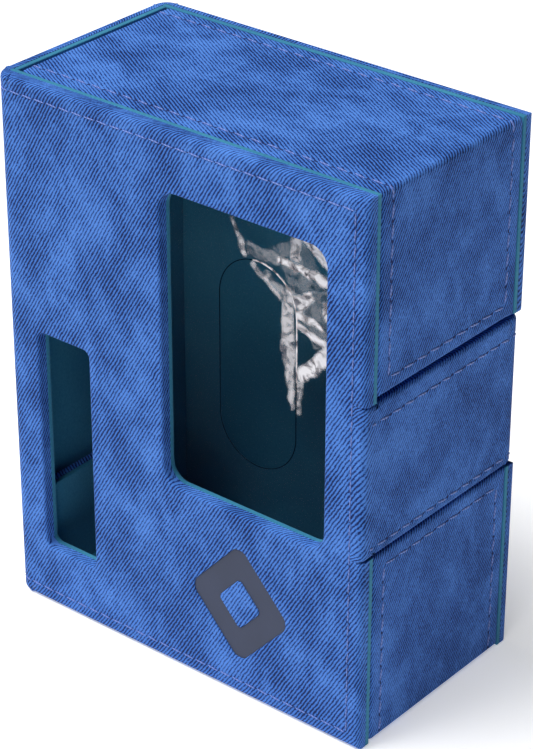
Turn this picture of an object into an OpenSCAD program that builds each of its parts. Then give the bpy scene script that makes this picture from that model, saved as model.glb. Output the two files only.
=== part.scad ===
// Card deck box: a book-style cover of wrapped boards closes round a lined tray.
// The front cover carries a strap that folds round the right side and lies in the back.
// X runs along the front face, Y from front to back, Z up, origin under the middle.

/* [Box] */
// Width across the front, spine included
box_w = 79.5; // [78:0.5:90]
// Depth from front cover to back cover
box_d = 43.6; // [36:0.2:80]
// Height of covers and tray
box_h = 103; // [100:0.5:112]

/* [Walls] */
// Thickness of the fabric wrap
wrap_t = 0.5; // [0.3:0.1:0.7]
// Thickness of the board core
board_t = 1.5; // [1.2:0.1:2]
// Thickness of the lined inner board
lining_t = 1; // [0.8:0.1:1.2]
// Free gap between a closed cover and the tray
closing_gap = 0.2; // [0.15:0.05:0.4]
// Outer radius of a folded fabric corner
fold_r = 3; // [3:0.25:4]
// Outer radius of the tray's corners
tray_r = 2; // [1.5:0.25:3]

/* [Display window] */
// Left edge, from the left of the box
window_x = 36.5; // [32:0.1:38]
// Bottom edge above the base
window_z = 36.6; // [34:0.1:40]
// Width
window_w = 34.8; // [26:0.1:35]
// Height
window_h = 55.3; // [46:0.1:56]
// Corner radius
window_r = 3.4; // [2:0.2:6]

/* [Count window] */
// Left edge, from the left of the box
count_x = 7.7; // [6.5:0.1:9]
// Bottom edge above the base
count_z = 12.1; // [10:0.1:20]
// Width
count_w = 12; // [8:0.1:13]
// Height
count_h = 44; // [30:0.1:60]
// Corner radius
count_r = 1.4; // [1:0.1:3]

/* [Card pocket] */
// Film thickness
film_t = 0.3; // [0.2:0.05:0.4]
// Overlap of the film round the display window
film_lap = 3; // [2:0.25:4]
// Width of the thumb slot
slot_w = 16; // [12:0.5:20]
// Length of the thumb slot
slot_h = 38; // [28:0.5:44]

/* [Strap] */
// Lower edge of the strap above the base
strap_z = 37.6; // [34:0.1:40]
// Height of the strap
strap_h = 28.6; // [24:0.1:30]
// Gap in the tray and the back cover under the strap
gap_below = 0.4; // [0.3:0.05:1]
// Gap in the tray and the back cover over the strap
gap_above = 0.9; // [0.3:0.05:1.2]
// Gap in the front cover beside the strap's root
root_gap = 0.25; // [0.2:0.05:0.4]
// Stitch row above the strap's lower edge
strap_row_low = 1.8; // [1.5:0.1:4]
// Stitch row below the strap's upper edge
strap_row_high = 3.4; // [1.5:0.1:4]
// Length of the tip that lies in the back cover
tip_l = 24; // [16:1:36]
// Thickness of the tip's lining
tip_lining_t = 0.4; // [0.3:0.1:0.5]
// Length of a magnet
magnet_l = 12; // [8:1:16]
// Width of a magnet
magnet_w = 5; // [4:0.5:8]
// Thickness of a magnet
magnet_t = 0.6; // [0.5:0.1:0.8]

/* [Tray] */
// Lower edge of the finger notch in the left wall
notch_z = 22.6; // [16:0.2:30]
// Height of the finger notch
notch_h = 57.4; // [40:0.2:64]
// Wall left behind the finger notch
notch_back = 8; // [6:0.5:14]

/* [Trim] */
// Width of the emblem, tip to tip
emblem_w = 20.2; // [16:0.2:22]
// Height of the emblem, tip to tip
emblem_h = 22; // [18:0.5:23]
// Middle of the emblem, from the left of the box
emblem_x = 53.3; // [46:0.1:60]
// Middle of the emblem above the base
emblem_z = 18.6; // [16:0.1:20]
// Depth that the emblem is pressed in
emblem_t = 0.3; // [0.2:0.05:0.4]
// Distance of a stitch row from an edge
stitch_in = 2.7; // [2.3:0.1:4]
// Thickness of the sewing thread
thread_t = 0.25; // [0.2:0.05:0.3]

/* [Hidden] */
$fn = 48;

x0 = -box_w / 2;
x1 = box_w / 2;
y0 = -box_d / 2;
y1 = box_d / 2;
outer_t = wrap_t + board_t;
cover_t = outer_t + lining_t;
small = 0.01;

// Tray: left and right faces, front edge, back face against the back lining
tray_x0 = x0 + cover_t + closing_gap;
tray_y0 = y0 + cover_t + closing_gap;
tray_y1 = y1 - cover_t;
tray_w = x1 - tray_x0;
tray_d = tray_y1 - tray_y0;
notch_d = tray_d - notch_back;
notch_r = 6;

// Strap: the gap it closes, and where the folds end
gap_z = strap_z - gap_below;
gap_h = strap_h + gap_below + gap_above;
root_z = strap_z - root_gap;
root_h = strap_h + 2 * root_gap;
strap_y0 = y0 + fold_r;
strap_y1 = y1 - fold_r;
tip_x1 = x1 - fold_r;
tip_x0 = tip_x1 - tip_l;
tip_r = 3;
tip_board_t = outer_t - wrap_t - tip_lining_t;
tip_room = 0.5;
magnet_in = 5;
magnet_at = [0.28, 0.72];

// Emblem: its cut-out's share of the size, and half the width of a blunt tip
cut_out = 0.42;
emblem_tip = 1;
cut_out_tip = 0.4;

// Middle of the thumb slot, from the middle of the display window
slot_off = [1, 0.3];

// Fold strips stop short of the top and bottom
fold_in = 0.2;
fold_t = 1.5;

blue = [0.22, 0.40, 0.72];
blue_edge = [0.14, 0.25, 0.50];
teal = [0.16, 0.45, 0.55];
grey = [0.62, 0.60, 0.56];
navy = [0.22, 0.27, 0.37];
thread = [0.47, 0.52, 0.80];
steel = [0.70, 0.71, 0.73];

// Flat outlines -----------------------------------------------------------

module round_rect(w, h, r) {
    translate([r, 0]) square([w - 2 * r, h]);
    translate([0, r]) square([w, h - 2 * r]);
    for (x = [r, w - r], z = [r, h - r]) translate([x, z]) circle(r);
}

// Window outlines seen from the front, grown by g on every side
module window_shapes(g = 0) {
    translate([x0 + window_x - g, window_z - g])
        round_rect(window_w + 2 * g, window_h + 2 * g, window_r + g);
    translate([x0 + count_x - g, count_z - g])
        round_rect(count_w + 2 * g, count_h + 2 * g, count_r + g);
}

// A lozenge with blunt tips; t is half the width of a tip
module lozenge(w, h, t) {
    polygon([[w / 2, -t], [w / 2, t], [t, h / 2], [-t, h / 2],
        [-w / 2, t], [-w / 2, -t], [-t, -h / 2], [t, -h / 2]]);
}

// A lozenge with a small lozenge cut from its middle
module emblem_shape() {
    translate([x0 + emblem_x, emblem_z]) difference() {
        lozenge(emblem_w, emblem_h, emblem_tip);
        lozenge(emblem_w * cut_out, emblem_h * cut_out, cut_out_tip);
    }
}

// Extrudes an XZ outline from y by depth d
module upright(y, d) {
    translate([0, y + d, 0]) rotate([90, 0, 0]) linear_extrude(d) children();
}

// A quarter ring that bridges two panels at a corner, dir turns it to its corner
module fold(cx, cy, turn, z, h) {
    translate([cx, cy, z]) rotate(turn)
        rotate_extrude(angle = 90) translate([fold_r - fold_t, 0]) square([fold_t, h]);
}

// Front cover -------------------------------------------------------------

cover_x0 = x0 + fold_r;

// The front panel's outline; edge draws it in from every free edge
module front_outline(edge = 0) {
    difference() {
        translate([cover_x0, edge]) square([x1 - cover_x0 - edge, box_h - 2 * edge]);
        translate([x1 - fold_r - edge, root_z - edge])
            square([fold_r + edge + small, root_h + 2 * edge]);
        window_shapes(edge);
    }
}

module front_cover_board() {
    color(grey) upright(y0 + wrap_t, board_t) front_outline(wrap_t);
}

module front_cover_wrap() {
    color(blue) difference() {
        upright(y0, outer_t) front_outline();
        front_cover_board();
        front_rows();
        upright(y0, emblem_t) emblem_shape();
    }
}

module front_cover_lining() {
    color(teal) upright(y0 + outer_t, lining_t) difference() {
        translate([x0 + outer_t, 0]) square([box_w - outer_t, box_h]);
        translate([x1 - fold_r, root_z]) square([fold_r + small, root_h]);
        window_shapes();
    }
}

// Rows along the top, the right edge and the bottom; the strap's root parts the right one
module front_rows() {
    row_x1 = x1 - stitch_in;
    upright(y0, thread_t) difference() {
        translate([cover_x0, stitch_in]) square([row_x1 - cover_x0, box_h - 2 * stitch_in]);
        translate([cover_x0 - small, stitch_in + thread_t])
            square([row_x1 - cover_x0 - thread_t + small, box_h - 2 * stitch_in - 2 * thread_t]);
        translate([x1 - fold_r - wrap_t, root_z - wrap_t])
            square([fold_r, root_h + 2 * wrap_t]);
    }
}

module front_cover_stitching() {
    color(thread) front_rows();
}

module card_pocket_film() {
    mid_x = x0 + window_x + window_w / 2 + slot_off[0];
    mid_z = window_z + window_h / 2 + slot_off[1];
    color([0.85, 0.9, 0.95, 0.35]) upright(y0 + cover_t, film_t) difference() {
        translate([x0 + window_x - film_lap, window_z - film_lap])
            square([window_w + 2 * film_lap, window_h + 2 * film_lap]);
        translate([mid_x - slot_w / 2, mid_z - slot_h / 2])
            round_rect(slot_w, slot_h, slot_w / 2 - small);
    }
}

module emblem() {
    color(navy) upright(y0, emblem_t) emblem_shape();
}

// Spine -------------------------------------------------------------------

module spine_slab(x, t, edge, z_edge) {
    translate([x, y0 + edge, z_edge]) cube([t, box_d - 2 * edge, box_h - 2 * z_edge]);
}

module spine_board() {
    color(grey) spine_slab(x0 + wrap_t, board_t, fold_r, wrap_t);
}

module spine_wrap() {
    color(blue) difference() {
        spine_slab(x0, outer_t, fold_r, 0);
        spine_board();
        spine_rows();
    }
}

module spine_lining() {
    color(teal) spine_slab(x0 + outer_t, lining_t, cover_t + closing_gap / 2, 0);
}

module spine_rows() {
    for (z = [stitch_in, box_h - stitch_in - thread_t])
        translate([x0, y0 + fold_r, z]) cube([thread_t, box_d - 2 * fold_r, thread_t]);
}

module spine_stitching() {
    color(thread) spine_rows();
}

// Back cover --------------------------------------------------------------

// The recess for the strap's tip, grown by g; its inner corners are round
module tip_recess(g = 0) {
    translate([tip_x0 - tip_room - g, gap_z - g])
        round_rect(tip_room + tip_l + fold_r + tip_r + 2 * g, gap_h + 2 * g, tip_r + g);
}

module back_outline(edge = 0) {
    difference() {
        translate([cover_x0, edge]) square([x1 - cover_x0 - edge, box_h - 2 * edge]);
        tip_recess(edge);
    }
}

module back_cover_board() {
    color(grey) upright(y1 - outer_t, board_t) back_outline(wrap_t);
}

module back_cover_wrap() {
    color(blue) difference() {
        upright(y1 - outer_t, outer_t) back_outline();
        back_cover_board();
        back_rows();
    }
}

// Two flat magnets in the strap's tip and two under the lining that meet them
module magnets(y) {
    for (z = magnet_at)
        translate([tip_x0 + magnet_in, y, strap_z + strap_h * z - magnet_w / 2])
            cube([magnet_l, magnet_t, magnet_w]);
}

module catch_magnets() {
    color(steel) magnets(y1 - outer_t - magnet_t);
}

module back_cover_lining() {
    color(teal) difference() {
        upright(y1 - cover_t, lining_t) difference() {
            translate([x0 + outer_t, 0]) square([box_w - outer_t, box_h]);
            translate([x1 - fold_r - closing_gap, gap_z])
                square([fold_r + closing_gap + small, gap_h]);
        }
        catch_magnets();
    }
}

// Rows along the top, the bottom and the right edge, which the recess parts
module back_rows() {
    row_x1 = x1 - stitch_in;
    upright(y1 - thread_t, thread_t) difference() {
        translate([cover_x0, stitch_in]) square([row_x1 - cover_x0, box_h - 2 * stitch_in]);
        translate([cover_x0 - small, stitch_in + thread_t])
            square([row_x1 - cover_x0 - thread_t + small, box_h - 2 * stitch_in - 2 * thread_t]);
        translate([0, gap_z - stitch_in]) square([x1, gap_h + 2 * stitch_in]);
    }
}

module back_cover_stitching() {
    color(thread) back_rows();
}

// Tray --------------------------------------------------------------------

// The tray's outline seen from the front, drawn in by i
module tray_outline(i = 0) {
    translate([tray_x0 + i, i]) round_rect(tray_w - 2 * i, box_h - 2 * i, max(tray_r - i, 0.5));
}

// The finger notch, open to the front, grown by g round its edge
module finger_notch(g = 0) {
    deep = notch_d + g;
    translate([tray_x0 - small, tray_y0 + deep, notch_z - g])
        rotate([90, 0, 90]) linear_extrude(cover_t + 2 * small) {
            translate([-deep - 1, 0]) square([deep + 1 - notch_r, notch_h + 2 * g]);
            translate([-notch_r - small, notch_r])
                square([notch_r + small, notch_h + 2 * g - 2 * notch_r]);
            for (z = [notch_r, notch_h + 2 * g - notch_r])
                translate([-notch_r, z]) circle(notch_r);
        }
}

// The gap that the strap closes, grown by g above and below
module strap_gap(g = 0) {
    translate([x1 - cover_t - small, tray_y0 - 1, gap_z - g])
        cube([cover_t + 1, tray_d + 2, gap_h + 2 * g]);
}

// Space taken by all the boards, filled right through to the tray's back
module tray_board_space() {
    difference() {
        upright(tray_y0 + wrap_t, tray_d - wrap_t) difference() {
            tray_outline(wrap_t);
            tray_outline(outer_t);
        }
        finger_notch(wrap_t);
        strap_gap(wrap_t);
    }
}

module tray_wrap() {
    color(blue) difference() {
        upright(tray_y0, tray_d) difference() {
            tray_outline();
            tray_outline(outer_t);
        }
        finger_notch();
        strap_gap();
        tray_board_space();
        tray_rows();
    }
}

// One wall board: the part of the board space inside a box
module wall_board(lo, hi) {
    color(grey) intersection() {
        tray_board_space();
        translate([lo[0], tray_y0, lo[1]]) cube([hi[0] - lo[0], tray_d, hi[1] - lo[1]]);
    }
}

bend = tray_r;
board_x0 = tray_x0 + bend;
board_x1 = x1 - bend;

module top_wall_board() { wall_board([board_x0, box_h - outer_t], [board_x1, box_h]); }
module bottom_wall_board() { wall_board([board_x0, 0], [board_x1, outer_t]); }
module left_wall_board() { wall_board([tray_x0, bend], [tray_x0 + outer_t, box_h - bend]); }
module upper_right_wall_board() {
    wall_board([x1 - outer_t, gap_z + gap_h], [x1, box_h - bend]);
}
module lower_right_wall_board() { wall_board([x1 - outer_t, bend], [x1, gap_z]); }

// A lining panel behind the front rim
module lining_panel(x, z, w, h) {
    translate([x, tray_y0 + wrap_t, z]) cube([w, tray_d - wrap_t, h]);
}

module top_wall_lining() {
    color(teal)
        lining_panel(tray_x0 + outer_t, box_h - cover_t, tray_w - 2 * outer_t, lining_t);
}

module bottom_wall_lining() {
    color(teal) lining_panel(tray_x0 + outer_t, outer_t, tray_w - 2 * outer_t, lining_t);
}

module left_wall_lining() {
    color(teal) difference() {
        lining_panel(tray_x0 + outer_t, cover_t, lining_t, box_h - 2 * cover_t);
        finger_notch();
    }
}

module upper_right_wall_lining() {
    z = gap_z + gap_h;
    color(teal) lining_panel(x1 - cover_t, z, lining_t, box_h - cover_t - z);
}

module lower_right_wall_lining() {
    color(teal) lining_panel(x1 - cover_t, cover_t, lining_t, gap_z - cover_t);
}

// Thread along the tray's front and back edges and beside the strap's gap
module tray_rows() {
    rows = [tray_y0 + stitch_in, tray_y1 - stitch_in - thread_t];
    difference() {
        union() {
            for (y = rows) upright(y, thread_t) difference() {
                tray_outline();
                tray_outline(thread_t);
            }
            for (z = [gap_z - stitch_in - thread_t, gap_z + gap_h + stitch_in])
                translate([x1 - thread_t, rows[0] + thread_t, z])
                    cube([thread_t, rows[1] - rows[0] - thread_t, thread_t]);
        }
        strap_gap(stitch_in);
        translate([tray_x0 - 1, tray_y0, tray_r]) cube([2, tray_d, box_h - 2 * tray_r]);
    }
}

module tray_stitching() {
    color(thread) tray_rows();
}

// Strap -------------------------------------------------------------------

module strap_slab(x, t, edge = 0) {
    translate([x, strap_y0, strap_z + edge])
        cube([t, strap_y1 - strap_y0, strap_h - 2 * edge]);
}

module strap_board() {
    color(grey) strap_slab(x1 - outer_t, board_t, wrap_t);
}

module strap_wrap() {
    color(blue) difference() {
        strap_slab(x1 - outer_t, outer_t);
        strap_board();
        strap_rows();
    }
}

module strap_lining() {
    color(teal) strap_slab(x1 - cover_t, lining_t);
}

module strap_rows() {
    for (z = [strap_row_low, strap_h - strap_row_high])
        translate([x1 - thread_t, strap_y0, strap_z + z])
            cube([thread_t, strap_y1 - strap_y0, thread_t]);
}

module strap_stitching() {
    color(thread) strap_rows();
}

// The tip's outline: square at the fold, round at its free end
module tip_outline(edge = 0) {
    r = tip_r - edge;
    intersection() {
        translate([tip_x0 + edge, strap_z + edge])
            round_rect(tip_l + tip_r, strap_h - 2 * edge, r);
        translate([tip_x0, strap_z]) square([tip_l, strap_h]);
    }
}

module tip_magnets() {
    color(steel) magnets(y1 - outer_t + tip_lining_t);
}

module strap_tip_board() {
    color(grey) difference() {
        upright(y1 - outer_t + tip_lining_t, tip_board_t) tip_outline(wrap_t);
        tip_magnets();
    }
}

module strap_tip_lining() {
    color(teal) upright(y1 - outer_t, tip_lining_t) tip_outline(wrap_t);
}

module strap_tip_wrap() {
    color(blue) difference() {
        upright(y1 - outer_t, outer_t) tip_outline();
        upright(y1 - outer_t - small, outer_t - wrap_t + small) tip_outline(wrap_t);
        tip_rows();
    }
}

// Thread that carries on from the strap's rows and crosses the free end
module tip_rows() {
    low = strap_z + strap_row_low;
    high = strap_z + strap_h - strap_row_high + thread_t;
    end = tip_x0 + stitch_in;
    upright(y1 - thread_t, thread_t) difference() {
        translate([end, low]) square([tip_x1 - end, high - low]);
        translate([end + thread_t, low + thread_t])
            square([tip_x1 - end, high - low - 2 * thread_t]);
    }
}

module strap_tip_stitching() {
    color(thread) tip_rows();
}

// Folds -------------------------------------------------------------------

module full_fold(cx, cy, turn) {
    color(blue_edge) fold(cx, cy, turn, fold_in, box_h - 2 * fold_in);
}

module back_left_fold() { full_fold(x0 + fold_r, y1 - fold_r, 90); }
module front_left_fold() { full_fold(x0 + fold_r, y0 + fold_r, 180); }
module front_right_fold() {
    color(blue_edge) fold(x1 - fold_r, y0 + fold_r, -90, strap_z, strap_h);
}
module back_right_fold() {
    color(blue_edge) fold(x1 - fold_r, y1 - fold_r, 0, strap_z, strap_h);
}

back_cover_board();
back_cover_wrap();
back_cover_lining();
back_cover_stitching();
catch_magnets();
top_wall_board();
bottom_wall_board();
left_wall_board();
upper_right_wall_board();
lower_right_wall_board();
tray_wrap();
tray_stitching();
top_wall_lining();
bottom_wall_lining();
left_wall_lining();
upper_right_wall_lining();
lower_right_wall_lining();
back_left_fold();
spine_board();
spine_wrap();
spine_lining();
spine_stitching();
front_left_fold();
front_cover_board();
front_cover_wrap();
front_cover_lining();
front_cover_stitching();
card_pocket_film();
emblem();
front_right_fold();
strap_board();
strap_wrap();
strap_lining();
strap_stitching();
back_right_fold();
strap_tip_board();
strap_tip_wrap();
strap_tip_lining();
strap_tip_stitching();
tip_magnets();
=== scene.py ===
import math
import random

import bmesh
import bpy
from mathutils import Matrix, Vector, noise


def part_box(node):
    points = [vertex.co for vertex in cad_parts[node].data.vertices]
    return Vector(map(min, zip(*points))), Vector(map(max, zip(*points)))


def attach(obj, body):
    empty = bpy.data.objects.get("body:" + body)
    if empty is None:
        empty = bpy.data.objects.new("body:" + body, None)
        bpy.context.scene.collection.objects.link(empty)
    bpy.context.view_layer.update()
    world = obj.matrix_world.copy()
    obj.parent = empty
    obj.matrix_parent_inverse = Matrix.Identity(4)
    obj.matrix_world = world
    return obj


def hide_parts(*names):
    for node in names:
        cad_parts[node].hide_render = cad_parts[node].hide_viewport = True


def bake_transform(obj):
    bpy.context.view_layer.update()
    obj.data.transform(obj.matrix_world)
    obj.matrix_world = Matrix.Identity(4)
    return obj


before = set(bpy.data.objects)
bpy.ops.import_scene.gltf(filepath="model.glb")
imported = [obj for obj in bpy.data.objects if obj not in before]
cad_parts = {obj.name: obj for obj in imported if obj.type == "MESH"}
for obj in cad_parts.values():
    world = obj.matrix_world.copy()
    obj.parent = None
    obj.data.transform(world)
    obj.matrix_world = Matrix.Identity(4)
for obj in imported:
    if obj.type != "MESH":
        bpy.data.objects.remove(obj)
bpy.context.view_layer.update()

# Camera ----------------------------------------------------------------------
# A long lens at arm's length, to the right of the box and above it, so that the front,
# the strap side and the top all show.
MM = 0.001
turn, tilt, roll = math.radians(39.38), math.radians(28.98), math.radians(0.08)
back_dir = Vector((math.sin(turn) * math.cos(tilt), -math.cos(turn) * math.cos(tilt), math.sin(tilt)))
right_dir = Vector((math.cos(turn), math.sin(turn), 0))
up_dir = back_dir.cross(right_dir)
side = right_dir * math.cos(roll) + up_dir * math.sin(roll)
camera_data = bpy.data.cameras.new("view")
camera_data.sensor_width = 36
camera_data.lens = 128.28
camera = bpy.data.objects.new("view", camera_data)
camera.matrix_world = Matrix((side, back_dir.cross(side), back_dir)).transposed().to_4x4()
camera.location = Vector((258.86, -313.31, 274.71)) * MM
bpy.context.scene.collection.objects.link(camera)
bpy.context.scene.camera = camera

# Studio ----------------------------------------------------------------------
# A seamless sheet of white paper under one large soft light to the upper left of the box,
# with a weak one in front that reaches in through the windows. Not part of the object.


def colour(code):
    """A hex colour as it looks on a screen, as linear red, green, blue and alpha."""
    parts = [int(code[i:i + 2], 16) / 255 for i in (1, 3, 5)]
    return [c / 12.92 if c <= 0.04045 else ((c + 0.055) / 1.055) ** 2.4 for c in parts] + [1]


def add(tree, kind, settings, inputs):
    """Adds a shader node, with its settings, and its inputs as values or links."""
    made = tree.nodes.new("ShaderNode" + kind)
    for name, value in settings.items():
        setattr(made, name, value)
    for socket, value in inputs.items():
        if isinstance(value, bpy.types.NodeSocket):
            tree.links.new(value, made.inputs[socket])
        else:
            made.inputs[socket].default_value = value
    return made


def blank(name):
    """A new material with only its output, and its node tree."""
    made = bpy.data.materials.new(name)
    made.use_nodes = True
    made.node_tree.nodes.clear()
    return made, made.node_tree


def finish_with(tree, shader):
    add(tree, "OutputMaterial", {}, {"Surface": shader.outputs[0]})


bpy.context.scene.view_settings.view_transform = "Standard"
world = bpy.data.worlds.new("studio")
world.use_nodes = True
world.node_tree.nodes["Background"].inputs["Color"].default_value = (1, 1, 1, 1)
world.node_tree.nodes["Background"].inputs["Strength"].default_value = 0.02
bpy.context.scene.world = world

for name, place, size, power in (
    ("key_softbox", (-0.38, -0.42, 1.3), 0.9, 24.5),
    ("front_card", (0.3, -0.7, 1.1), 0.3, 2.1),
):
    light = bpy.data.lights.new(name, "AREA")
    light.shape = "SQUARE"
    light.size = size
    light.energy = power
    lamp = bpy.data.objects.new(name, light)
    lamp.location = place
    lamp.rotation_euler = (Vector(place) - Vector((0, 0, 0.05))).to_track_quat("Z", "Y").to_euler()
    bpy.context.scene.collection.objects.link(lamp)

# Matt white background paper: rough, with no gloss
paper, tree = blank("white_background_paper")
grain = add(tree, "TexNoise", {}, {"Vector": add(tree, "TexCoord", {}, {}).outputs["Object"], "Scale": 30.0})
tint = add(tree, "MixRGB", {}, {
    "Fac": grain.outputs["Fac"], "Color1": colour("#f4f4f4"), "Color2": colour("#f8f8f8")})
finish_with(tree, add(tree, "BsdfPrincipled", {}, {
    "Base Color": tint.outputs[0], "Roughness": 0.95, "Specular IOR Level": 0.1,
    "Emission Color": (1, 1, 1, 1), "Emission Strength": 0.4}))
bm = bmesh.new()
bmesh.ops.create_grid(bm, x_segments=1, y_segments=1, size=3)
bmesh.ops.translate(bm, verts=bm.verts, vec=(0, 0, -0.2 * MM))
floor_mesh = bpy.data.meshes.new("background_paper")
bm.to_mesh(floor_mesh)
bm.free()
floor_mesh.materials.append(paper)
floor = bpy.data.objects.new("background_paper", floor_mesh)
bpy.context.scene.collection.objects.link(floor)

# Greyboard cores --------------------------------------------------------------
# Every wall and cover panel is cut from 1.5 mm recycled greyboard and is sealed in its cloth.
# The CAD boards stay as they are, and only their cut edges could ever show.

# Raw greyboard: dull, flecked with darker and lighter pulp
greyboard, tree = blank("raw_greyboard")
place = add(tree, "TexCoord", {}, {}).outputs["Object"]
fleck = add(tree, "TexNoise", {}, {"Vector": place, "Scale": 900.0, "Detail": 6.0})
tint = add(tree, "MixRGB", {}, {
    "Fac": fleck.outputs["Fac"], "Color1": colour("#7d7a72"), "Color2": colour("#b3aea2")})
rough = add(tree, "Bump", {}, {"Height": fleck.outputs["Fac"], "Strength": 0.4, "Distance": 0.05 * MM})
finish_with(tree, add(tree, "BsdfPrincipled", {}, {
    "Base Color": tint.outputs[0], "Roughness": 0.9, "Normal": rough.outputs[0]}))


def refinish(node, finish):
    """Gives a CAD part that stays in view its material."""
    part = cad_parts[node]
    part.data.materials.clear()
    part.data.materials.append(finish)


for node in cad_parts:
    if node.endswith("_board"):
        refinish(node, greyboard)

# Front cover cloth --------------------------------------------------------------
# The cover is one length of printed twill, glued round separate boards and turned in at
# their edges. It is made here as it is made in the shop: cut and turned flat, then folded up.


def box_mm(node):
    """The lowest and highest corners of a CAD part, in mm."""
    return [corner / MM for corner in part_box(node)]


front_low, front_high = box_mm("front_cover_wrap")
spine_low = box_mm("spine_wrap")[0]
back_high = box_mm("back_cover_wrap")[1]
right, front, back = front_high.x, front_low.y, back_high.y
height = front_high.z
panel_t = front_high.y - front_low.y
fold_r = front_low.x - spine_low.x
edge_r = 1.05
row_in = 2.7
groove = 0.12
groove_w = 0.45
box_left = right - 79.5
window = (box_left + 36.5, 36.6, 34.8, 55.3, 3.4)
count_window = (box_left + 7.7, 12.1, 12.0, 44.0, 1.4)
emblem_place = (box_left + 53.3, 18.6)
emblem_half = (10.1, 11.0)
emblem_tip = 1
cut_out, cut_out_tip = 0.42, 0.4
strap_low, strap_high = box_mm("strap_wrap")
root_gap = 0.25
strap_root_r = 1.1
opening_r = 0.5
deboss_r = 0.18
on_line = 0.01


def near(at, *lines):
    """Whether a point lies on one of the lines that the flat work is scored or cut along."""
    return min(abs(at - line) for line in lines) < on_line


def within(at, span):
    return span[0] - on_line <= at <= span[1] + on_line


def box_outline(place):
    """Corners of a window, each with its radius."""
    u, v, w, h, r = place
    return [(u, v, r), (u + w, v, r), (u + w, v + h, r), (u, v + h, r)]


def lozenge(scale, tip):
    """Corners of the emblem, or of the hole in it."""
    w, h = (half * scale for half in emblem_half)
    u, v = emblem_place
    corners = [(w, -tip), (w, tip), (tip, h), (-tip, h), (-w, tip), (-w, -tip), (-tip, -h), (tip, -h)]
    return [(u + a, v + b, tip * 0.6) for a, b in corners]


def outline_edges(bm, corners, steps):
    """Draws one closed outline on the flat, and rounds its corners."""
    made = bm.faces.new([bm.verts.new((u, 0, v)) for u, v, r in corners])
    points = list(made.verts)
    for point, (u, v, r) in zip(points, corners):
        if r:
            bmesh.ops.bevel(bm, geom=[point], offset=r, offset_type="OFFSET", segments=steps,
                            profile=0.5, affect="VERTICES", material=-1)


def cut_panel(outline, holes=(), thickness=panel_t, cuts=(), steps=8, margin=1.15):
    """Cuts a panel with its windows from the flat, scores it along cuts and gives it its thickness."""
    bm = bmesh.new()
    for corners in (outline, *holes):
        outline_edges(bm, corners, steps)
    bmesh.ops.delete(bm, geom=bm.faces[:], context="FACES_ONLY")
    bmesh.ops.triangle_fill(bm, use_beauty=True, use_dissolve=False, edges=bm.edges[:], normal=(0, -1, 0))
    if margin:
        bmesh.ops.inset_region(bm, faces=bm.faces[:], thickness=margin, use_boundary=True,
                               use_even_offset=True)
    for axis, at in cuts:
        bmesh.ops.bisect_plane(bm, geom=bm.verts[:] + bm.edges[:] + bm.faces[:], dist=1e-5,
                               plane_co=(at, 0, at), plane_no=(1, 0, 0) if axis == "u" else (0, 0, 1))
    bmesh.ops.solidify(bm, geom=bm.faces[:], thickness=thickness)
    bmesh.ops.recalc_face_normals(bm, faces=bm.faces[:])
    if sum(v.co.y for v in bm.verts) < 0:
        bmesh.ops.translate(bm, verts=bm.verts[:], vec=(0, thickness, 0))
    return bm


def round_rims(bm, radius, steps, skip=lambda u, v: False, only=lambda u, v: True, both=False):
    """Rounds the outer edge of a panel all round, apart from where it runs on into its neighbour."""
    deep = max(v.co.y for v in bm.verts)
    rims = []
    for edge in bm.edges:
        a, b = (v.co for v in edge.verts)
        flat = max(abs(a.y), abs(b.y)) < 1e-4 or (both and min(a.y, b.y) > deep - 1e-4)
        if not flat or len(edge.link_faces) != 2 or edge.calc_face_angle() < math.radians(60):
            continue
        middle = (a + b) / 2
        if only(middle.x, middle.z) and not skip(middle.x, middle.z):
            rims.append(edge)
    bmesh.ops.bevel(bm, geom=rims, offset=radius, offset_type="OFFSET", segments=steps, profile=0.5,
                    affect="EDGES", clamp_overlap=False, loop_slide=True, material=-1)


def lay_cloth(bm, pull=lambda u, v: (0, 0), across=False):
    """Maps the weave in mm. It runs on round the turned-in edges, and is pulled askew beside them."""
    bm.normal_update()
    layer = bm.loops.layers.uv.new("cloth")
    for face in bm.faces:
        for loop in face.loops:
            u, d, v = loop.vert.co
            n = loop.vert.normal
            lean = Vector((n.x, n.z))
            lean = lean.normalized() if d > 0.02 and lean.length > 0.05 else Vector((0, 0))
            du, dv = pull(u, v)
            a, b = u + du + d * lean.x, v + dv + d * lean.y
            loop[layer].uv = (b, -a) if across else (a, b)


def corner_radius(phi, tight):
    """How far the outer face lies from a fold's centre, where the corner is pressed to a tight radius."""
    reach = fold_r - tight
    if math.tan(min(phi, math.pi / 2 - phi)) <= reach / fold_r:
        return fold_r / max(math.sin(phi), math.cos(phi))
    across = reach * (math.sin(phi) + math.cos(phi))
    return across + math.sqrt(across * across - 2 * reach * reach + tight * tight)


def chain(u, d, pressed):
    """Where a point of the flat cover, u from its middle and d under its face, goes when folded."""
    arc = fold_r * math.pi / 2
    flat_end = right - fold_r
    wall = back - front - 2 * fold_r
    if u <= flat_end:
        return u, front + d
    if u <= flat_end + arc:
        phi = (u - flat_end) / fold_r
        outer = corner_radius(phi, pressed)
        r = max(outer - d, (fold_r - panel_t) / max(math.sin(phi), math.cos(phi)))
        return flat_end + r * math.sin(phi), front + fold_r - r * math.cos(phi)
    u -= flat_end + arc
    if u <= wall:
        return right - d, front + fold_r + u
    u -= wall
    if u <= arc:
        phi = u / fold_r
        r = max(fold_r - d, (fold_r - panel_t) / max(math.sin(phi), math.cos(phi)))
        return flat_end + r * math.cos(phi), back - fold_r + r * math.sin(phi)
    return flat_end - (u - arc), back - d


def fold_up(bm):
    """Folds flat work round the box: to the spine on the left, along the strap on the right."""
    for v in bm.verts:
        sign = 1 if v.co.x >= 0 else -1
        x, y = chain(abs(v.co.x), v.co.y, strap_root_r if sign > 0 else fold_r)
        v.co.x, v.co.y = sign * x, y


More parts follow.
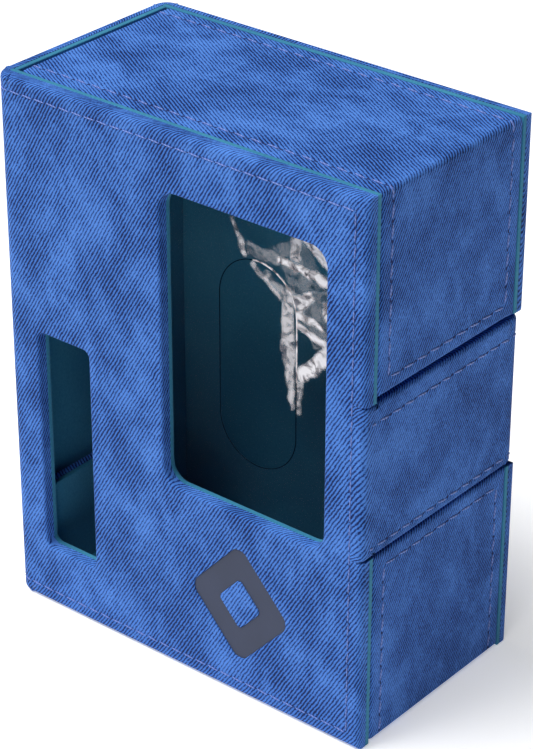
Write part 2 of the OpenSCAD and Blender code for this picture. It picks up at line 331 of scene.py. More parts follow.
def keep_flat(bm):
    """Stands flat work up as the front panel."""
    bmesh.ops.translate(bm, verts=bm.verts[:], vec=(0, front, 0))


def make_piece(name, bm, materials, replaced=(), body=None, sharp=40):
    """Turns finished work into an object in metres, hides the CAD parts it stands for and hangs it on the
    body it rides on.
    """
    bmesh.ops.scale(bm, verts=bm.verts[:], vec=(MM, MM, MM))
    mesh = bpy.data.meshes.new(name)
    bm.to_mesh(mesh)
    bm.free()
    for finish in materials:
        mesh.materials.append(finish)
    mesh.polygons.foreach_set("use_smooth", [True] * len(mesh.polygons))
    mesh.set_sharp_from_angle(angle=math.radians(sharp))
    piece = bpy.data.objects.new(name, mesh)
    bpy.context.scene.collection.objects.link(piece)
    level = piece.modifiers.new("even_shading", "WEIGHTED_NORMAL")
    level.keep_sharp = True
    if replaced:
        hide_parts(*replaced)
    if body:
        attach(piece, body)
    return piece


# Printed polyester twill: steep ribs about 0.6 mm apart, light on their backs and navy in
# between, with a cloudy washed print that hides the navy where it is palest. Matt.
twill, tree = blank("washed_print_twill")
rib_pitch = 0.6
cloth = add(tree, "UVMap", {"uv_map": "cloth"}, {}).outputs[0]
wobble = add(tree, "TexNoise", {}, {"Vector": cloth, "Scale": 0.5, "Detail": 4.0, "Roughness": 0.6})
askew = add(tree, "VectorMath", {"operation": "MULTIPLY_ADD"}, {
    0: wobble.outputs["Color"], 1: (0.55, 0.0, 0.0), 2: cloth})
along_ribs = add(tree, "Mapping", {"vector_type": "TEXTURE"}, {
    "Vector": askew.outputs[0], "Rotation": (0, 0, math.radians(59))}).outputs[0]
# x now runs along the ribs and y across them
lanes = add(tree, "SeparateXYZ", {}, {"Vector": along_ribs})
count_up = add(tree, "Math", {"operation": "DIVIDE"}, {0: lanes.outputs["Y"], 1: rib_pitch})
phase = add(tree, "Math", {"operation": "MULTIPLY"}, {0: count_up.outputs[0], 1: 2 * math.pi})
wave = add(tree, "Math", {"operation": "COSINE"}, {0: phase.outputs[0]})
# Short flecks along each rib, where single warp yarns show
stretched = add(tree, "VectorMath", {"operation": "MULTIPLY"}, {0: along_ribs, 1: (1.7, 3.8, 1.0)})
fleck = add(tree, "TexNoise", {}, {
    "Vector": stretched.outputs[0], "Scale": 1.0, "Detail": 3.0, "Roughness": 0.65})
fuzz = add(tree, "TexNoise", {}, {"Vector": cloth, "Scale": 6.0, "Detail": 2.0, "Roughness": 0.6})
cloud_space = add(tree, "Mapping", {}, {
    "Vector": cloth, "Location": (31.0, 12.0, 0.0), "Rotation": (0, 0, 0.5), "Scale": (0.1, 0.07, 1)})
cloud = add(tree, "TexNoise", {}, {"Vector": cloud_space.outputs[0], "Scale": 1.0, "Detail": 8.0,
                                   "Roughness": 0.72, "Distortion": 0.2})
pale = add(tree, "MapRange", {"interpolation_type": "SMOOTHSTEP"}, {
    "Value": cloud.outputs["Fac"], "From Min": 0.34, "From Max": 0.68})
# How far a rib spreads over the navy beside it: flecks, fuzz and the cloudy print shift it
spread = -3.75
for shift, share in ((fleck.outputs["Fac"], 4.2), (fuzz.outputs["Fac"], 3.0), (pale.outputs[0], 0.85)):
    spread = add(tree, "Math", {"operation": "MULTIPLY_ADD"}, {0: shift, 1: share, 2: spread}).outputs[0]
rise = add(tree, "Math", {"operation": "ADD"}, {0: wave.outputs[0], 1: spread})
rib = add(tree, "MapRange", {"interpolation_type": "SMOOTHSTEP"}, {
    "Value": rise.outputs[0], "From Min": -0.7, "From Max": 0.75})
light = add(tree, "MixRGB", {}, {
    "Fac": pale.outputs[0], "Color1": colour("#3d72c6"), "Color2": colour("#5286d8")})
dark = add(tree, "MixRGB", {}, {
    "Fac": pale.outputs[0], "Color1": colour("#091b4e"), "Color2": colour("#143178")})
tint = add(tree, "MixRGB", {}, {
    "Fac": rib.outputs[0], "Color1": dark.outputs[0], "Color2": light.outputs[0]})
yarn = add(tree, "Bump", {}, {"Height": rib.outputs[0], "Strength": 0.5, "Distance": 0.07 * MM})
finish_with(tree, add(tree, "BsdfPrincipled", {}, {
    "Base Color": tint.outputs[0], "Roughness": 0.85, "Specular IOR Level": 0.15,
    "Sheen Weight": 0.04, "Sheen Roughness": 0.5, "Normal": yarn.outputs[0]}))

# The lining: short-napped microfibre suede, teal, a little paler where the nap is brushed up
microfibre, tree = blank("teal_microfibre_suede")
place = add(tree, "TexCoord", {}, {}).outputs["Object"]
nap = add(tree, "TexNoise", {}, {"Vector": place, "Scale": 2600.0, "Detail": 4.0, "Roughness": 0.7})
brushed = add(tree, "TexNoise", {}, {"Vector": place, "Scale": 70.0, "Detail": 3.0, "Distortion": 0.6})
shade = add(tree, "Math", {"operation": "MULTIPLY_ADD"}, {0: brushed.outputs["Fac"], 1: 0.6, 2: 0.2})
mixed = add(tree, "Math", {"operation": "MULTIPLY"}, {0: nap.outputs["Fac"], 1: shade.outputs[0]})
tint = add(tree, "MixRGB", {}, {
    "Fac": mixed.outputs[0], "Color1": colour("#1c6289"), "Color2": colour("#5cb8d2")})
pile = add(tree, "Bump", {}, {"Height": nap.outputs["Fac"], "Strength": 0.5, "Distance": 0.04 * MM})
finish_with(tree, add(tree, "BsdfPrincipled", {}, {
    "Base Color": tint.outputs[0], "Roughness": 0.9, "Specular IOR Level": 0.2,
    "Sheen Weight": 0.2, "Sheen Roughness": 0.4, "Normal": pile.outputs[0]}))

lip = 0.4
hair = 0.02
arc = fold_r * math.pi / 2
flat_end = right - fold_r
wall = back - front - 2 * fold_r
root = (strap_low.z - root_gap, strap_high.z + root_gap)
row_u = right - row_in
rows_v = (row_in, height - row_in)


def scored(rows, folds=(), columns=()):
    """Score lines beside each stitch row and column, and across each fold."""
    lines = [("v", v + s) for v in rows for s in (-groove_w, 0, groove_w)]
    lines += [("u", u + s) for u in columns for s in (-groove_w, 0, groove_w)]
    return lines + [("u", start + step * fold_arc / 10) for start, fold_arc in folds for step in range(11)]


def sink_rows(bm, on_row):
    """Presses the cloth in along its stitch rows."""
    for v in bm.verts:
        if abs(v.co.y) < 1e-4 and on_row(v.co.x, v.co.z):
            v.co.y = groove


def cover_pull(u, v):
    """The weave leans over where the cloth is drawn round the top and bottom edges."""
    past = max(v - rows_v[1], rows_v[0] - v, 0) / row_in
    return -0.35 * past * past * (1 if v > height / 2 else -1), 0


def at_seam(u, v):
    """Where the front panel runs on into the spine's fold, or into the strap's."""
    return u < -flat_end + lip + on_line or (flat_end < u < right - on_line and within(v, root))


def in_emblem(u, v):
    return all(abs(at - middle) < half + 0.4 for at, middle, half in zip((u, v), emblem_place, emblem_half))


def in_opening(u, v):
    return any(a - 1 < u < a + w + 1 and b - 1 < v < b + h + 1
               for a, b, w, h, r in (window, count_window))


def on_front_row(u, v):
    if near(u, row_u):
        return within(v, rows_v)
    return u < row_u and near(v, *rows_v)


outline = [(-flat_end + lip, 0, 0), (right, 0, 0), (right, root[0], 0), (flat_end + lip, root[0], 0),
           (flat_end + lip, root[1], 0), (right, root[1], 0), (right, height, 0),
           (-flat_end + lip, height, 0)]
openings = [box_outline(window), box_outline(count_window)]
bm = cut_panel(outline, openings + [lozenge(1, emblem_tip)], cuts=scored(rows_v, columns=[row_u]))
round_rims(bm, deboss_r, 3, only=in_emblem)
round_rims(bm, opening_r, 4, only=in_opening)
round_rims(bm, edge_r, 5, skip=lambda u, v: at_seam(u, v) or in_emblem(u, v) or in_opening(u, v))
sink_rows(bm, on_front_row)
lay_cloth(bm, cover_pull)
island = cut_panel(lozenge(cut_out, cut_out_tip), margin=0.3)
round_rims(island, deboss_r, 3)
lay_cloth(island, cover_pull)
middle_mesh = bpy.data.meshes.new("emblem_middle")
island.to_mesh(middle_mesh)
island.free()
bm.from_mesh(middle_mesh)
bpy.data.meshes.remove(middle_mesh)
keep_flat(bm)
make_piece("front_cover_cloth", bm, [twill], ["front_cover_wrap"], "front_cover")

# Front cover stitching -----------------------------------------------------------
# A lockstitch in thick dusty blue polyester, 2.8 mm long, along the top, the right edge
# and the bottom. Each stitch pulls the cloth in; at its end a flat dark navy mark is the needle hole, with
# the shade inside it painted in.

# Twisted polyester thread: smooth and slightly lustrous, its ply winding across the stitch
thread, tree = blank("twisted_polyester_thread")
place = add(tree, "TexCoord", {}, {}).outputs["Object"]
ply = add(tree, "TexWave", {"bands_direction": "DIAGONAL"}, {
    "Vector": place, "Scale": 900.0, "Distortion": 1.5})
tint = add(tree, "MixRGB", {}, {
    "Fac": ply.outputs["Fac"], "Color1": colour("#5169b2"), "Color2": colour("#7c93d4")})
twist = add(tree, "Bump", {}, {"Height": ply.outputs["Fac"], "Strength": 0.5, "Distance": 0.05 * MM})
finish_with(tree, add(tree, "BsdfPrincipled", {}, {
    "Base Color": tint.outputs[0], "Roughness": 0.55, "Normal": twist.outputs[0]}))

# The needle hole: the navy back of the print, darkened with painted shade where it is drawn down into the
# hole
needle_hole_shade, tree = blank("needle_hole_navy_painted_shade")
place = add(tree, "TexCoord", {}, {}).outputs["Object"]
frayed = add(tree, "TexNoise", {}, {"Vector": place, "Scale": 4000.0})
tint = add(tree, "MixRGB", {}, {
    "Fac": frayed.outputs["Fac"], "Color1": colour("#0c1a4a"), "Color2": colour("#1a2e6c")})
finish_with(tree, add(tree, "BsdfPrincipled", {}, {"Base Color": tint.outputs[0], "Roughness": 0.95}))

sewing = random.Random(7)


def sew(bm, start, end, pitch, first_material=0):
    """Sews a row along a straight flat line, one separate thread arch for each stitch."""
    gap, width, slant = (0.4, 0.12, 3.5) if pitch < 3 else (0.95, 0.2, 7)
    start, end = Vector(start), Vector(end)
    along = end - start
    count = max(1, round(along.length / pitch))
    step = along.length / count
    heading = math.atan2(along.y, along.x)
    for number in range(count):
        # After each thread arch comes a flat dark navy mark: the needle hole, with its shade painted in
        for part, half, thick, wide, at, lean in (
            (0, (step - gap) / 2, 0.14, width, 0.5, slant + sewing.gauss(0, 1.5)),
            (1, gap * 0.45, 0.05, width * 1.3, 1.0, -32 + sewing.gauss(0, 6)),
        ):
            if part and number == count - 1:
                continue
            spot = start + along * ((number + at) / count)
            deep = 0.0 if part == 0 else groove - 0.03
            turned_to = Matrix.Rotation(-heading - math.radians(-lean), 4, "Y")
            shape = Matrix.Diagonal((half, thick, wide, 1)) @ Matrix.Rotation(math.pi / 2, 4, "Y")
            made = bmesh.ops.create_uvsphere(
                bm, u_segments=6, v_segments=5, radius=1,
                matrix=Matrix.Translation((spot.x, deep, spot.y)) @ turned_to @ shape)
            for face in {f for v in made["verts"] for f in v.link_faces}:
                face.material_index = first_material + part


cover_pitch = 2.8
bm = bmesh.new()
sew(bm, (-flat_end + lip, rows_v[1]), (row_u, rows_v[1]), cover_pitch)
sew(bm, (row_u, rows_v[1]), (row_u, rows_v[0]), cover_pitch)
sew(bm, (row_u, rows_v[0]), (-flat_end + lip, rows_v[0]), cover_pitch)
keep_flat(bm)
make_piece("front_cover_stitches", bm, [thread, needle_hole_shade],
           ["front_cover_stitching"], "front_cover")

# Spine ---------------------------------------------------------------------------
# The narrow board between the covers, under the same length of twill, whose two stitch rows
# run on over it from the front cover.
spine_near, spine_far = -(flat_end + arc + lip), -(flat_end + arc + wall - lip)
bm = cut_panel([(spine_far, 0, 0), (spine_near, 0, 0), (spine_near, height, 0), (spine_far, height, 0)],
               cuts=scored(rows_v))
round_rims(bm, edge_r, 5, skip=lambda u, v: near(u, spine_near, spine_far))
sink_rows(bm, lambda u, v: near(v, *rows_v))
lay_cloth(bm, cover_pull)
fold_up(bm)
make_piece("spine_cloth", bm, [twill], ["spine_wrap"], "spine")

bm = bmesh.new()
for v in rows_v:
    sew(bm, (spine_far, v), (spine_near, v), cover_pitch)
fold_up(bm)
make_piece("spine_stitches", bm, [thread, needle_hole_shade], ["spine_stitching"], "spine")

# Back cover ------------------------------------------------------------------------
# The board that the tray is glued to. Its cloth is turned in round a recess in the right
# edge, where the strap's tip lies level with it; rows run along its top, bottom and right.
back_near = -(flat_end + 2 * arc + wall + lip)
back_far = -(flat_end + 2 * arc + wall + 2 * right - fold_r)
tip_low, tip_high = box_mm("strap_tip_wrap")
gap_below, gap_above, tip_room = 0.4, 0.9, 0.5
gap_low, gap_high = strap_low.z - gap_below, strap_high.z + gap_above
recess_u = back_far + (right - tip_low.x) + tip_room
tip_r = 3
back_row_u = back_far + row_in
outline = [(back_far, 0, 0), (back_near, 0, 0), (back_near, height, 0), (back_far, height, 0),
           (back_far, gap_high, 0), (recess_u, gap_high, tip_r), (recess_u, gap_low, tip_r),
           (back_far, gap_low, 0)]
back_rows_split = (gap_low - row_in, gap_high + row_in)


def on_back_row(u, v):
    if near(u, back_row_u):
        return within(v, rows_v) and not back_rows_split[0] < v < back_rows_split[1]
    return u > back_row_u and near(v, *rows_v)


bm = cut_panel(outline, cuts=scored(rows_v, columns=[back_row_u]))
round_rims(bm, edge_r, 5, skip=lambda u, v: near(u, back_near))
sink_rows(bm, on_back_row)
lay_cloth(bm, cover_pull)
fold_up(bm)
make_piece("back_cover_cloth", bm, [twill], ["back_cover_wrap"], "root")

bm = bmesh.new()
sew(bm, (back_near, rows_v[1]), (back_row_u, rows_v[1]), cover_pitch)
sew(bm, (back_row_u, rows_v[1]), (back_row_u, back_rows_split[1]), cover_pitch)
sew(bm, (back_row_u, back_rows_split[0]), (back_row_u, rows_v[0]), cover_pitch)
sew(bm, (back_row_u, rows_v[0]), (back_near, rows_v[0]), cover_pitch)
fold_up(bm)
make_piece("back_cover_stitches", bm, [thread, needle_hole_shade],
           ["back_cover_stitching"], "root")

# Spine folds -------------------------------------------------------------------------
# Two hinges of doubled cloth with no board in them, on each side of the spine. The lining
# shows inside them when the cover is open, and the stitch rows carry on across.


def soft_fold(name, node, u_start, spread, rows, corner, rim, pull, pitch, flush=0):
    """One fold: cut flat, sewn and folded round its corner.

    Its first part, as long as flush, lies edge to edge with the panel beside it."""
    u_low, u_high = min(u_start), max(u_start)
    v_low, v_high = spread
    outline = [(u_low, v_low, 0), (u_high, v_low, 0), (u_high, v_high, 0), (u_low, v_high, 0)]
    if flush:
        u_flush, u_clear = u_low + flush, u_low + flush + 0.8
        outline = [(u_clear, v_low, 0), (u_high, v_low, 0), (u_high, v_high, 0), (u_clear, v_high, 0),
                   (u_flush, root[1] - hair, 0), (u_low, root[1] - hair, 0),
                   (u_low, root[0] + hair, 0), (u_flush, root[0] + hair, 0)]
    bm = cut_panel(outline, cuts=scored(rows, folds=[(u_low + lip, arc)]))
    round_rims(bm, rim, 5, skip=lambda u, v: near(u, u_low, u_high) or u < u_low + flush - on_line)
    sink_rows(bm, lambda u, v: near(v, *rows))
    for face in bm.faces:
        if min(v.co.y for v in face.verts) > panel_t - on_line:
            face.material_index = 1
    lay_cloth(bm, pull)
    for v in rows:
        sew(bm, (u_low + flush * 1.6, v), (u_high, v), pitch, first_material=2)
    fold_up(bm)
    made = make_piece(name, bm, [twill, microfibre, thread, needle_hole_shade], [node])
    corner = Vector(corner)
    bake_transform(made)
    return made


left = spine_low.x
soft_fold("front_spine_fold", "front_left_fold", (-flat_end + lip, spine_near), (0, height), rows_v,
          (left, front, 0), edge_r, cover_pull, cover_pitch)
soft_fold("back_spine_fold", "back_left_fold", (spine_far, back_near), (0, height), rows_v,
          (left, back, 0), edge_r, cover_pull, cover_pitch)

# Strap -------------------------------------------------------------------------------
# The front cover's tongue: it folds round the right side over its own board and round again
# into the back. Two stitch rows run its whole length and meet across the tip.
row_low, row_high = 1.8, 3.4
strap_rows = (strap_low.z + row_low, strap_high.z - row_high)
strap_rim = 0.8
strap_pitch = 3.45
strap_near, strap_far = flat_end + arc + lip, flat_end + arc + wall - lip
tip_near = flat_end + 2 * arc + wall + lip
tip_far = tip_near - lip + tip_high.x - tip_low.x
strap_spread = (strap_low.z, strap_high.z)


def strap_pull(u, v):
    """The weave leans over beside the strap's edges."""
    past = max((v - strap_rows[1]) / row_high, (strap_rows[0] - v) / row_low, 0)
    return -0.9 * past * past * (1 if v > strap_rows[1] else -1), 0


bm = cut_panel([(strap_near, strap_spread[0], 0), (strap_far, strap_spread[0], 0),
                (strap_far, strap_spread[1], 0), (strap_near, strap_spread[1], 0)], cuts=scored(strap_rows))
round_rims(bm, strap_rim, 5, skip=lambda u, v: near(u, strap_near, strap_far))
sink_rows(bm, lambda u, v: near(v, *strap_rows))
lay_cloth(bm, strap_pull)
fold_up(bm)
make_piece("strap_cloth", bm, [twill], ["strap_wrap"], "closure_strap")

bm = bmesh.new()
for v in strap_rows:
    sew(bm, (strap_near, v), (strap_far, v), strap_pitch)
fold_up(bm)
make_piece("strap_stitches", bm, [thread, needle_hole_shade], ["strap_stitching"], "closure_strap")

soft_fold("strap_root_fold", "front_right_fold", (flat_end + lip, strap_near), strap_spread, strap_rows,
          (right, front, 0),
          strap_rim, strap_pull, strap_pitch, flush=1.7)
soft_fold("strap_tip_fold", "back_right_fold", (strap_far, tip_near), strap_spread, strap_rows,
          (right, back, 0),
          strap_rim, strap_pull, strap_pitch)

# Strap tip -----------------------------------------------------------------------------
# The free end, round at its corners, with the magnets sealed in its board.
tip_row_u = tip_far - row_in


def on_tip_row(u, v):
    if near(u, tip_row_u):
        return within(v, strap_rows)
    return u < tip_row_u and near(v, *strap_rows)


bm = cut_panel([(tip_near, strap_spread[0], 0), (tip_far, strap_spread[0], tip_r),
                (tip_far, strap_spread[1], tip_r), (tip_near, strap_spread[1], 0)],
               cuts=scored(strap_rows, columns=[tip_row_u]))
round_rims(bm, strap_rim, 5, skip=lambda u, v: near(u, tip_near))
sink_rows(bm, on_tip_row)
lay_cloth(bm, strap_pull)
for face in bm.faces:
    if min(v.co.y for v in face.verts) > panel_t - on_line:
        face.material_index = 1
fold_up(bm)
make_piece("strap_tip_cloth", bm, [twill, microfibre],
           ["strap_tip_wrap", "strap_tip_lining"], "strap_tip")

bm = bmesh.new()
sew(bm, (tip_near, strap_rows[1]), (tip_row_u, strap_rows[1]), strap_pitch)
sew(bm, (tip_row_u, strap_rows[1]), (tip_row_u, strap_rows[0]), strap_pitch)
sew(bm, (tip_row_u, strap_rows[0]), (tip_near, strap_rows[0]), strap_pitch)
fold_up(bm)
make_piece("strap_tip_stitches", bm, [thread, needle_hole_shade],
           ["strap_tip_stitching"], "strap_tip")

# Magnets -----------------------------------------------------------------------
# Four flat block magnets hold the strap: two in its tip and two just under the back's lining.
# Sintered neodymium, nickel plated.

# Nickel plate: bright, faintly brushed by tumbling
nickel, tree = blank("tumbled_nickel_plate")
place = add(tree, "TexCoord", {}, {}).outputs["Object"]
brush = add(tree, "TexNoise", {}, {"Vector": place, "Scale": 1500.0, "Detail": 3.0})
shine = add(tree, "MapRange", {}, {"Value": brush.outputs["Fac"], "To Min": 0.22, "To Max": 0.4})
finish_with(tree, add(tree, "BsdfPrincipled", {}, {
    "Base Color": colour("#c9c6be"), "Metallic": 1.0, "Roughness": shine.outputs[0]}))
refinish("tip_magnets", nickel)

magnet_w = 5.0
under_suede = 0.08
magnet_low, magnet_high = box_mm("catch_magnets")
bm = bmesh.new()
for z in (magnet_low.z + magnet_w / 2, magnet_high.z - magnet_w / 2):
    middle = (magnet_low + magnet_high) / 2
    middle.z = z
    size = magnet_high - magnet_low - Vector((0, 2 * under_suede, 0))
    size.z = magnet_w
    bmesh.ops.create_cube(bm, size=1, matrix=Matrix.LocRotScale(middle, None, size))
bmesh.ops.bevel(bm, geom=bm.edges[:], offset=0.1, offset_type="OFFSET", segments=2, profile=0.5,
                affect="EDGES", clamp_overlap=False, material=-1)
make_piece("catch_magnet_blocks", bm, [nickel], ["catch_magnets"], "root")

# Tray ----------------------------------------------------------------------------------
# Five wall boards stand round the well on the back cover, in one strip of twill that starts
# and ends at the strap's gap. The left wall is cut away for fingers, open to the front.
tray_low, tray_high = box_mm("tray_wrap")
tray_r = 1.0
corner_arc = tray_r * math.pi / 2
tray_w = tray_high.x - tray_low.x
straights = (height - tray_r - gap_high, tray_w - 2 * tray_r, height - 2 * tray_r,
             tray_w - 2 * tray_r, gap_low - tray_r)
strip_l = sum(straights) + 4 * corner_arc
notch = (22.6, 80.0, 27.2, 6.0)
left_wall_u = straights[0] + straights[1] + 2 * corner_arc
tray_folds = []
reach = 0
for straight in straights[:4]:
    reach += straight
    tray_folds.append((reach, corner_arc))
    reach += corner_arc


def wrap_round(bm):
    """Wraps the flat strip round the tray, anticlockwise from the top of the strap's gap."""
    for point in bm.verts:
        u, d, v = point.co
        over = max(d - tray_r, 0)
        x, z, heading = right, gap_high, math.pi / 2
        for number, straight in enumerate(straights):
            last = number == len(straights) - 1
            if u <= straight or last:
                u = max(u, over) if number else u
                u = u if last else min(u, straight - over)
                x += u * math.cos(heading) - d * math.sin(heading)
                z += u * math.sin(heading) + d * math.cos(heading)
                break
            u -= straight
            x += straight * math.cos(heading) - tray_r * math.sin(heading)
            z += straight * math.sin(heading) + tray_r * math.cos(heading)
            bend = heading + min(u, corner_arc) / tray_r
            if u <= corner_arc:
                deep = max(tray_r - d, 0)
                x += deep * math.sin(bend) - over * (math.sin(heading) + math.cos(heading))
                z -= deep * math.cos(bend) + over * (math.sin(heading) - math.cos(heading))
                break
            u -= corner_arc
            heading += math.pi / 2
            x += tray_r * math.sin(heading)
            z -= tray_r * math.cos(heading)
        point.co = (x, -v, z)
    bmesh.ops.remove_doubles(bm, verts=bm.verts[:], dist=1e-4)


v_front, v_back = -tray_low.y, -tray_high.y
v_notch = v_front - notch[2]
notch_u = (left_wall_u + height - tray_r - notch[1], left_wall_u + height - tray_r - notch[0])
outline = [(0, v_back, 0), (strip_l, v_back, 0), (strip_l, v_front, 0), (notch_u[1], v_front, 1.5),
           (notch_u[1], v_notch, notch[3]), (notch_u[0], v_notch, notch[3]), (notch_u[0], v_front, 1.5),
           (0, v_front, 0)]
tray_rows = (v_back + row_in, v_front - row_in)
gap_rows = (row_in, strip_l - row_in)
tray_pitch = 3.4
tray_rim, tray_back_rim = 0.9, 0.45


def on_tray_row(u, v):
    if left_wall_u - 0.1 < u < left_wall_u + straights[2] + 0.1:
        return False
    if near(u, *gap_rows):
        return within(v, tray_rows)
    return gap_rows[0] < u < gap_rows[1] and near(v, *tray_rows)


def tray_pull(u, v):
    """The weave leans over beside the front and back edges."""
    past = max(v - tray_rows[1], tray_rows[0] - v, 0) / row_in
    return 0.3 * past * past * (1 if v > tray_rows[1] else -1), 0


bm = cut_panel(outline, cuts=scored(tray_rows, folds=tray_folds, columns=gap_rows))
round_rims(bm, tray_back_rim, 3, only=lambda u, v: v < v_back + on_line)
round_rims(bm, tray_rim, 5, skip=lambda u, v: v < v_back + 0.5 and 0.5 < u < strip_l - 0.5)
sink_rows(bm, on_tray_row)
lay_cloth(bm, tray_pull, across=True)
wrap_round(bm)
make_piece("tray_cloth", bm, [twill], ["tray_wrap"], "root")

bm = bmesh.new()
for v in tray_rows:
    for u_start, u_end in ((gap_rows[0], left_wall_u), (left_wall_u + straights[2], gap_rows[1])):
        sew(bm, (u_start, v), (u_end, v), tray_pitch)
for u in gap_rows:
    sew(bm, (u, tray_rows[0]), (u, tray_rows[1]), tray_pitch)
wrap_round(bm)
make_piece("tray_stitches", bm, [thread, needle_hole_shade], ["tray_stitching"], "root")

# Linings ---------------------------------------------------------------------------------
# Thin cards covered in teal microfibre suede, glued in last over the turned-in cloth, so that
# their cut edges show as a pale line beside every cloth edge.
nap_r = 0.2


def line_with(node, body, outline=None, holes=(), upright_at=None):
    """One lining card, from its CAD box or from its own outline, with softly rounded edges."""
    low, high = box_mm(node)
    if outline is None:
        bm = bmesh.new()
        bmesh.ops.create_cube(bm, size=1, matrix=Matrix.LocRotScale(
            (low + high) / 2, None, high - low))
        bmesh.ops.bevel(bm, geom=bm.edges[:], offset=nap_r, offset_type="OFFSET", segments=3, profile=0.5,
                        affect="EDGES", clamp_overlap=False, material=-1)
    else:
        bm = cut_panel(outline, holes, thickness=1.0, margin=0.4)
        round_rims(bm, nap_r, 3, both=True)
        if upright_at is None:
            bmesh.ops.translate(bm, verts=bm.verts[:], vec=(0, low.y, 0))
        else:
            bmesh.ops.transform(bm, verts=bm.verts[:], matrix=Matrix.Translation((high.x, 0, 0)) @
                                Matrix.Rotation(math.pi / 2, 4, "Z"))
    return make_piece(node.replace("_lining", "_suede"), bm, [microfibre], [node], body)


inner_left = left + panel_t
outline = [(inner_left, 0, 0), (right, 0, 0), (right, root[0], 0), (flat_end, root[0], 0),
           (flat_end, root[1], 0), (right, root[1], 0), (right, height, 0), (inner_left, height, 0)]
line_with("front_cover_lining", "front_cover", outline, openings)
line_with("spine_lining", "spine")
outline = [(inner_left, 0, 0), (right, 0, 0), (right, gap_low, 0), (flat_end - 0.2, gap_low, 0),
           (flat_end - 0.2, gap_high, 0), (right, gap_high, 0), (right, height, 0), (inner_left, height, 0)]
line_with("back_cover_lining", "root", outline)
for node in ("top_wall_lining", "bottom_wall_lining", "upper_right_wall_lining", "lower_right_wall_lining"):
    line_with(node, "root")
line_with("strap_lining", "closure_strap")
wall_low, wall_high = box_mm("left_wall_lining")
notch_y = tray_low.y + notch[2]
outline = [(wall_low.y, wall_low.z, 0), (wall_high.y, wall_low.z, 0), (wall_high.y, wall_high.z, 0),
           (wall_low.y, wall_high.z, 0), (wall_low.y, notch[1], 1.5), (notch_y, notch[1], notch[3]),
           (notch_y, notch[0], notch[3]), (wall_low.y, notch[0], 1.5)]
line_with("left_wall_lining", "root", outline, upright_at=True)

# Emblem --------------------------------------------------------------------------------------
# A plain lozenge of navy leatherette with a lozenge cut from its middle, pressed into the
# front cover until it lies below the cloth.

# Smooth polyurethane leatherette: matt navy, with a fine pebble that the press flattened
leatherette, tree = blank("pressed_navy_leatherette")
place = add(tree, "TexCoord", {}, {}).outputs["Object"]
pebble = add(tree, "TexVoronoi", {}, {"Vector": place, "Scale": 2200.0})
rubbed = add(tree, "TexNoise", {}, {"Vector": place, "Scale": 160.0, "Detail": 3.0})
tint = add(tree, "MixRGB", {}, {
    "Fac": rubbed.outputs["Fac"], "Color1": colour("#1f2942"), "Color2": colour("#2a3551")})
pressed = add(tree, "Bump", {}, {
    "Height": pebble.outputs["Distance"], "Strength": 0.2, "Distance": 0.03 * MM})
finish_with(tree, add(tree, "BsdfPrincipled", {}, {
    "Base Color": tint.outputs[0], "Roughness": 0.6, "Normal": pressed.outputs[0]}))
patch_t, patch_rim, pressed_in = 0.3, 0.1, 0.2
bm = cut_panel(lozenge(1, emblem_tip), [lozenge(cut_out, cut_out_tip)], thickness=patch_t, margin=0.4)
round_rims(bm, patch_rim, 2)
bmesh.ops.translate(bm, verts=bm.verts[:], vec=(0, front + pressed_in, 0))
make_piece("emblem_patch", bm, [leatherette], ["emblem"], "front_cover")

# Card pocket film ------------------------------------------------------------------------------
# Two sheets of clear vinyl welded into a pocket behind the display window, the front one cut
# with a long thumb slot. Both are creased towards the upper right, where their reflections are painted on as
# silvery whitening.

# Clear plasticised vinyl: nearly invisible where it is flat, with silvery grey painted reflections where it
# is creased
vinyl, tree = blank("clear_vinyl_painted_crease_reflections")
place = add(tree, "TexCoord", {}, {}).outputs["Object"]
crease_reflection = add(tree, "Attribute", {"attribute_name": "crease_reflection"}, {}).outputs["Fac"]
# Mottled dark grey to white: the painted reflections on the creases
reflection_mottle = add(tree, "TexNoise", {}, {
    "Vector": place, "Scale": 380.0, "Detail": 2.5, "Roughness": 0.5, "Distortion": 1.5})
glint = add(tree, "MapRange", {"interpolation_type": "SMOOTHSTEP"}, {
    "Value": reflection_mottle.outputs["Fac"], "From Min": 0.3, "From Max": 0.6})
tint = add(tree, "MixRGB", {}, {
    "Fac": glint.outputs[0], "Color1": colour("#5c5660"), "Color2": colour("#e6e4e8")})
reflection_alpha_mottle = add(tree, "MapRange", {}, {
    "Value": reflection_mottle.outputs["Fac"], "From Min": 0.3, "From Max": 0.6, "To Min": 0.6})
cover = add(tree, "Math", {"operation": "MULTIPLY_ADD"}, {0: crease_reflection, 1: reflection_alpha_mottle.outputs[0], 2: 0.001})
finish_with(tree, add(tree, "BsdfPrincipled", {}, {
    "Base Color": tint.outputs[0], "Roughness": 0.25, "Alpha": cover.outputs[0]}))

# The cut edge of the vinyl: it bends the light away, so it reads as a fine dark line
cut_vinyl, tree = blank("cut_vinyl_edge")
place = add(tree, "TexCoord", {}, {}).outputs["Object"]
nicks = add(tree, "TexNoise", {}, {"Vector": place, "Scale": 2500.0})
tint = add(tree, "MixRGB", {}, {
    "Fac": nicks.outputs["Fac"], "Color1": colour("#040c14"), "Color2": colour("#0c2030")})
finish_with(tree, add(tree, "BsdfPrincipled", {}, {
    "Base Color": tint.outputs[0], "Roughness": 0.9, "Specular IOR Level": 0.0}))

film_low, film_high = box_mm("card_pocket_film")
film_t, film_inset = 0.08, 0.1
slot_r = 8.0
slot_u, slot_v = window[0] + window[2] / 2 + 1.0, window[1] + window[3] / 2 + 0.3
slot_reach = 11.0
grid = 0.35
noise.seed_set(3)


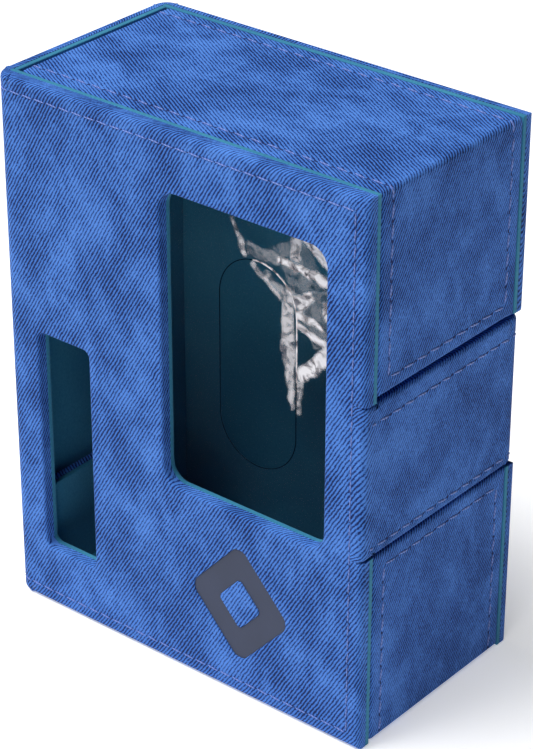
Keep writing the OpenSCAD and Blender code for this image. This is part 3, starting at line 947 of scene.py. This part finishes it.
def crease_reflection_streak(u, v, crease_reflection):
    """How bright a point is in the painted reflection along one tapering crease, whose edges wander a
    little.

    A crease has its two ends, in mm from the box's lower left corner, its width at each, and
    how bright its painted reflection is."""
    (u0, v0), (u1, v1), w0, w1, shine = crease_reflection
    start, along = Vector((u0, v0)), Vector((u1 - u0, v1 - v0))
    wander = noise.noise_vector(Vector((u * 0.5, v * 0.5, 3))) * 0.5
    spot = Vector((u + wander.x, v + wander.y)) - start
    share = spot.dot(along) / along.length_squared
    off = abs(spot.x * along.y - spot.y * along.x) / along.length
    ends = min(share, 1 - share) * along.length + 0.3
    half = (w0 + (w1 - w0) * max(0, min(1, share))) / 2
    return shine * max(0, min(1, (half - off) / 0.4 + 0.5)) * max(0, min(1, ends / 0.5))


def make_film(name, y, holes, crease_reflections):
    """One sheet of the pocket, creased along its lines, with painted reflections on the creases, a painted
    highlight on the slot's upper right rim and a painted dark line round the rest of it.
    """
    bm = cut_panel([(film_low.x, film_low.z, 0), (film_high.x, film_low.z, 0),
                    (film_high.x, film_high.z, 0), (film_low.x, film_high.z, 0)], holes, thickness=film_t,
                   cuts=[("u", slot_u - 6 + grid * n) for n in range(64)] +
                        [("v", slot_v - 8 + grid * n) for n in range(104)], margin=0.16, steps=20)
    layer = bm.verts.layers.float.new("crease_reflection")
    rim = set()
    for point in bm.verts:
        u, d, v = point.co
        shine = max(crease_reflection_streak(u - box_left, v, crease_reflection) for crease_reflection in crease_reflections)
        if holes and Vector((u - slot_u, max(abs(v - slot_v) - slot_reach, 0))).length < slot_r + 0.2:
            # The slot's rim: a painted highlight on its upper right, a painted dark line elsewhere
            if u > slot_u - 1 and v > slot_v:
                shine = 0.9
            else:
                rim.add(point)
        point[layer] = shine
        point.co.y += y + 0.1 * shine * noise.noise(Vector((u * 0.7, v * 0.7, 1)))
    for face in bm.faces:
        if all(point in rim for point in face.verts):
            face.material_index = 1
    return make_piece(name, bm, [vinyl, cut_vinyl], ["card_pocket_film"], "front_cover")


slot = (slot_u - slot_r, slot_v - slot_r - slot_reach, 2 * slot_r, 2 * (slot_r + slot_reach),
        slot_r - on_line)
make_film("card_pocket_front_vinyl", film_low.y + film_inset, [box_outline(slot)], [
    ((49.6, 89.8), (52.3, 83.8), 0.7, 0.9, 0.5),
    ((52.5, 85.3), (60.0, 85.4), 2.6, 2.0, 0.16),
    ((59.0, 85.4), (70.5, 84.1), 0.9, 2.0, 0.9),
    ((62.8, 91.5), (62.6, 86.2), 2.2, 1.4, 0.6),
    ((64.5, 90.6), (70.0, 87.6), 1.2, 2.6, 0.95),
    ((63.0, 78.4), (66.3, 81.2), 3.2, 1.2, 0.75),
    ((62.9, 76.9), (68.4, 75.9), 1.6, 0.8, 0.8),
    ((68.7, 80.6), (70.3, 76.9), 1.4, 2.4, 0.95),
    ((63.1, 75.0), (70.3, 72.6), 1.0, 1.7, 0.85),
    ((70.2, 72.1), (63.3, 65.2), 3.0, 1.9, 0.85),
    ((63.6, 65.0), (63.5, 58.5), 1.4, 0.6, 0.3),
    ((61.0, 89.0), (70.5, 74.0), 7.0, 9.0, 0.1),
])
make_film("card_pocket_back_vinyl", film_high.y - film_inset - film_t, [], [
    ((53.6, 82.9), (59.7, 78.5), 0.9, 0.7, 0.5),
    ((56.5, 82.0), (60.0, 79.6), 1.2, 1.6, 0.2),
    ((61.1, 81.0), (61.3, 69.0), 1.9, 2.9, 0.45),
    ((61.3, 69.5), (62.1, 59.0), 2.8, 0.4, 0.45),
])
